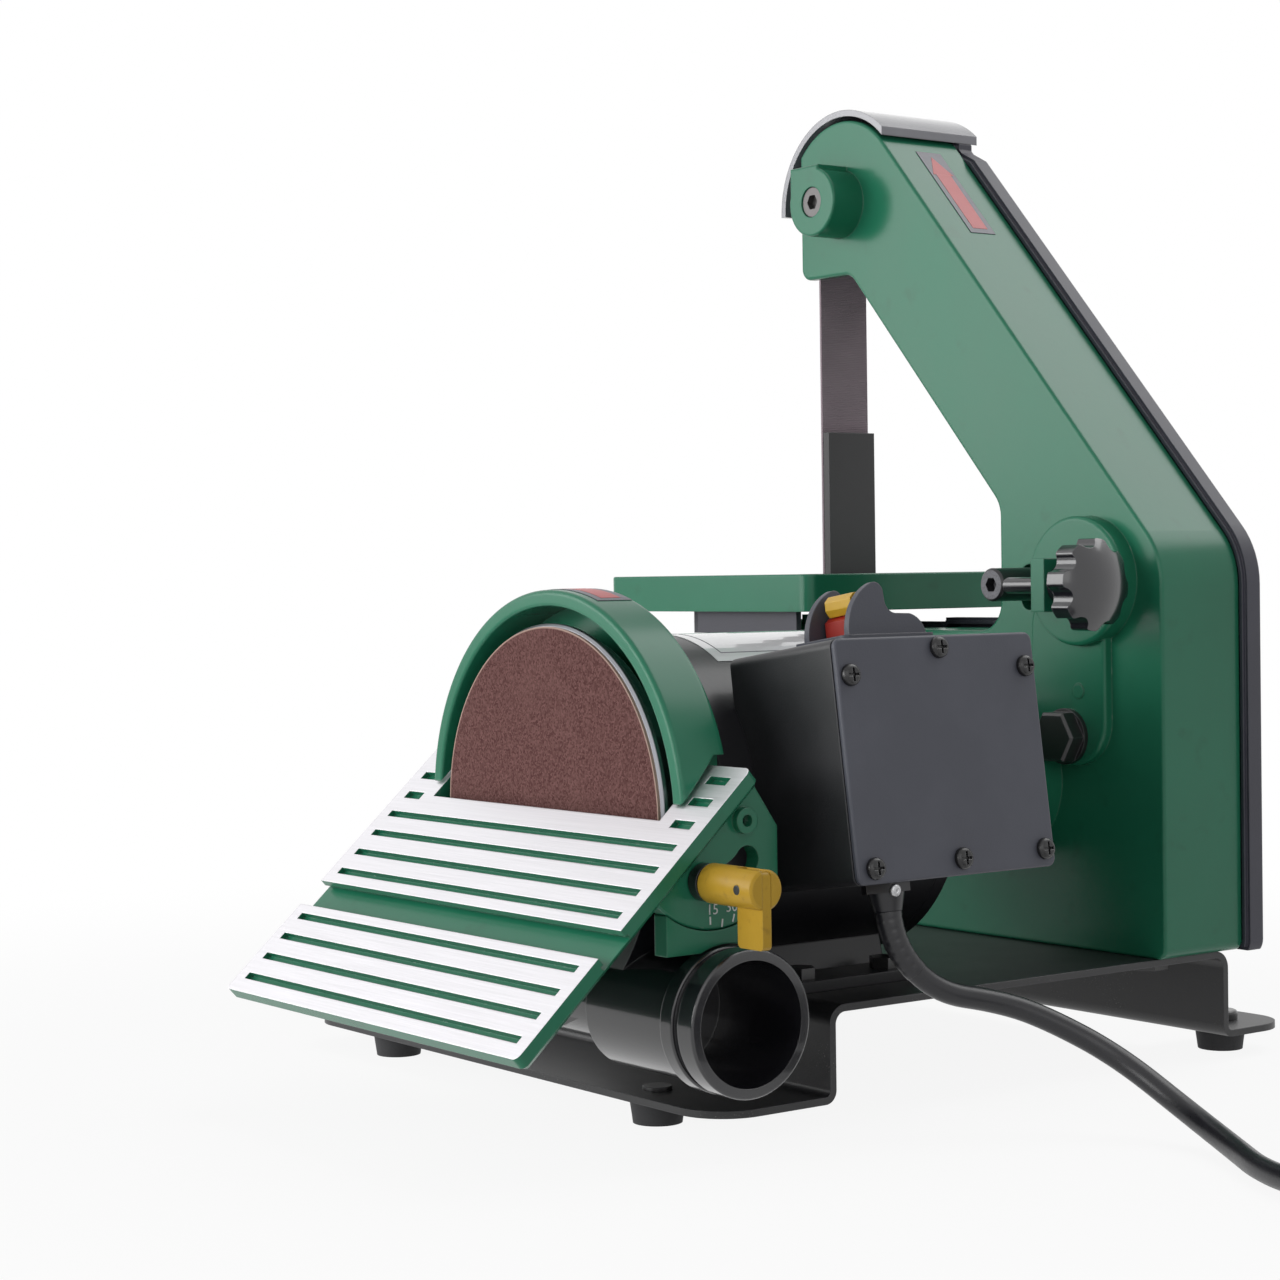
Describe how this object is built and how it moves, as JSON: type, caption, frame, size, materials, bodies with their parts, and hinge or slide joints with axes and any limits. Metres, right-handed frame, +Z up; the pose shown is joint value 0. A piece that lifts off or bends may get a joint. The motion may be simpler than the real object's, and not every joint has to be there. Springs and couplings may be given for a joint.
{
  "type": "belt and disc sander",
  "caption": "Bench sander with a vertical abrasive belt on one side and an abrasive disc on the other, each with a tilting table, driven by one motor on a sheet base.",
  "frame": {"origin": "middle of the machine's footprint on the bench, without the mains lead", "axes": "+Z up, +X along the motor shaft from disc to belt, +Y from the switch to the belt's working run"},
  "size_m": [0.3754, 0.5861, 0.3736],
  "materials": {
    "green_paint": "smooth enamel over a casting",
    "table_metal": "machined top, painted sides",
    "black_paint": "satin enamel",
    "black_plastic": "fine grain",
    "gloss_black": "glossy moulding",
    "yellow": "satin enamel",
    "yellow_plastic": "glossy moulding",
    "red_plastic": "glossy moulding",
    "rubber": "matte",
    "steel": "zinc plated",
    "aluminium": "turned",
    "abrasive": "coated abrasive paper",
    "belt_cloth": "coated abrasive cloth",
    "cord": "matte jacket",
    "iron": "bare laminations"
  },
  "bodies": {
    "machine": {"base_plate": "black_paint", "rubber_feet": "rubber", "foot_bolts": "black_paint", "motor_foot": "black_paint", "base_bolts": "black_paint", "motor_casing": "black_paint", "disc_end_bell": "black_paint", "belt_end_bell": "black_paint", "stator": "iron", "motor_bearings": "steel", "disc_guard": "green_paint", "guard_screws": "steel", "dust_hood": "gloss_black", "hood_bolts": "black_paint", "trunnion_brackets": "green_paint", "lock_studs": "steel", "belt_housing": "green_paint", "belt_cover": "black_paint", "cover_screws": "steel", "wheel_guard": "black_paint", "upper_axle": "steel", "front_axle": "steel", "wheel_bearings": "steel", "pivot_bolt": "black_paint", "tension_spring": "steel", "sanding_belt": "belt_cloth", "platen": "black_paint", "platen_screws": "black_paint", "switch_box": "black_paint", "switch_cover": "black_paint", "box_screws": "steel", "switch_guard": "black_plastic", "cord_gland": "black_plastic", "power_cord": "cord", "cord_coil": "cord", "cord_tie": "black_plastic", "plug": "black_plastic"},
    "spindle": {"motor_shaft": "steel", "rotor": "iron", "disc_plate": "aluminium", "abrasive_disc": "abrasive", "drive_wheel": "aluminium"},
    "upper_wheel": {"upper_wheel": "aluminium"},
    "front_idler": {"front_idler": "black_plastic"},
    "tension_arm": {"tension_arm": "steel", "tension_pin": "black_paint"},
    "tension_roller": {"tension_roller": "black_plastic"},
    "star_knob": {"star_knob": "black_plastic"},
    "disc_table": {"disc_table": "table_metal", "trunnions": "green_paint", "trunnion_screws": "steel"},
    "table_lever": {"lever_hub": "yellow", "lever_blade": "yellow", "lever_pin": "steel"},
    "belt_table": {"belt_table": "green_paint", "belt_trunnion": "black_paint", "rest_screws": "steel"},
    "belt_lever": {"belt_lever": "black_paint"},
    "switch_paddle": {"switch_paddle": "red_plastic"},
    "switch_key": {"switch_key": "yellow_plastic"}
  },
  "joints": [
    {"name": "spindle_spin", "type": "hinge", "parent": "machine", "child": "spindle", "pos_m": [-0.11234, -0.041, 0.104], "axis": [1, 0, 0], "continuous": true},
    {"name": "upper_wheel_spin", "type": "hinge", "parent": "machine", "child": "upper_wheel", "pos_m": [0.12716, 0.0515, 0.335], "axis": [1, 0, 0], "continuous": true},
    {"name": "front_idler_spin", "type": "hinge", "parent": "machine", "child": "front_idler", "pos_m": [0.12716, 0.056, 0.1131], "axis": [1, 0, 0], "continuous": true},
    {"name": "tension_swing", "type": "hinge", "parent": "machine", "child": "tension_arm", "pos_m": [0.10666, -0.079, 0.121], "axis": [1, 0, 0], "range_deg": [-5.5, 0], "stiffness_Nm_per_rad": 1.5, "springref_deg": 8.59},
    {"name": "tension_roller_spin", "type": "hinge", "parent": "tension_arm", "child": "tension_roller", "pos_m": [0.12716, -0.065, 0.178], "axis": [1, 0, 0], "continuous": true},
    {"name": "star_knob_turn", "type": "hinge", "parent": "machine", "child": "star_knob", "pos_m": [0.07426, -0.101, 0.1777], "axis": [0, 1, 0], "continuous": true},
    {"name": "disc_table_tilt", "type": "hinge", "parent": "machine", "child": "disc_table", "pos_m": [-0.10934, -0.041, 0.104], "axis": [0, 1, 0], "range_deg": [-3, 42]},
    {"name": "table_lever_turn", "type": "hinge", "parent": "machine", "child": "table_lever", "pos_m": [-0.11408, -0.141, 0.08747], "axis": [0, 1, 0], "range_deg": [-60, 60]},
    {"name": "belt_table_tilt", "type": "hinge", "parent": "machine", "child": "belt_table", "pos_m": [0.12266, 0.0845, 0.183], "axis": [1, 0, 0], "range_deg": [-45, 0]},
    {"name": "belt_lever_turn", "type": "hinge", "parent": "machine", "child": "belt_lever", "pos_m": [0.07766, 0.0845, 0.155], "axis": [1, 0, 0], "range_deg": [-60, 60]},
    {"name": "paddle_lift", "type": "hinge", "parent": "machine", "child": "switch_paddle", "pos_m": [-0.03534, -0.1169, 0.16521], "axis": [0, 0.9903, -0.1392], "range_deg": [0, 20]},
    {"name": "key_pull", "type": "slide", "parent": "switch_paddle", "child": "switch_key", "axis": [0, 0.1392, 0.9903], "range_m": [0, 0.012]}
  ],
  "couplings": [
    {"joint": "upper_wheel_spin", "follows": "spindle_spin", "ratio": 1.0165},
    {"joint": "front_idler_spin", "follows": "spindle_spin", "ratio": 1.1938},
    {"joint": "tension_roller_spin", "follows": "spindle_spin", "ratio": 2.4062}
  ]
}
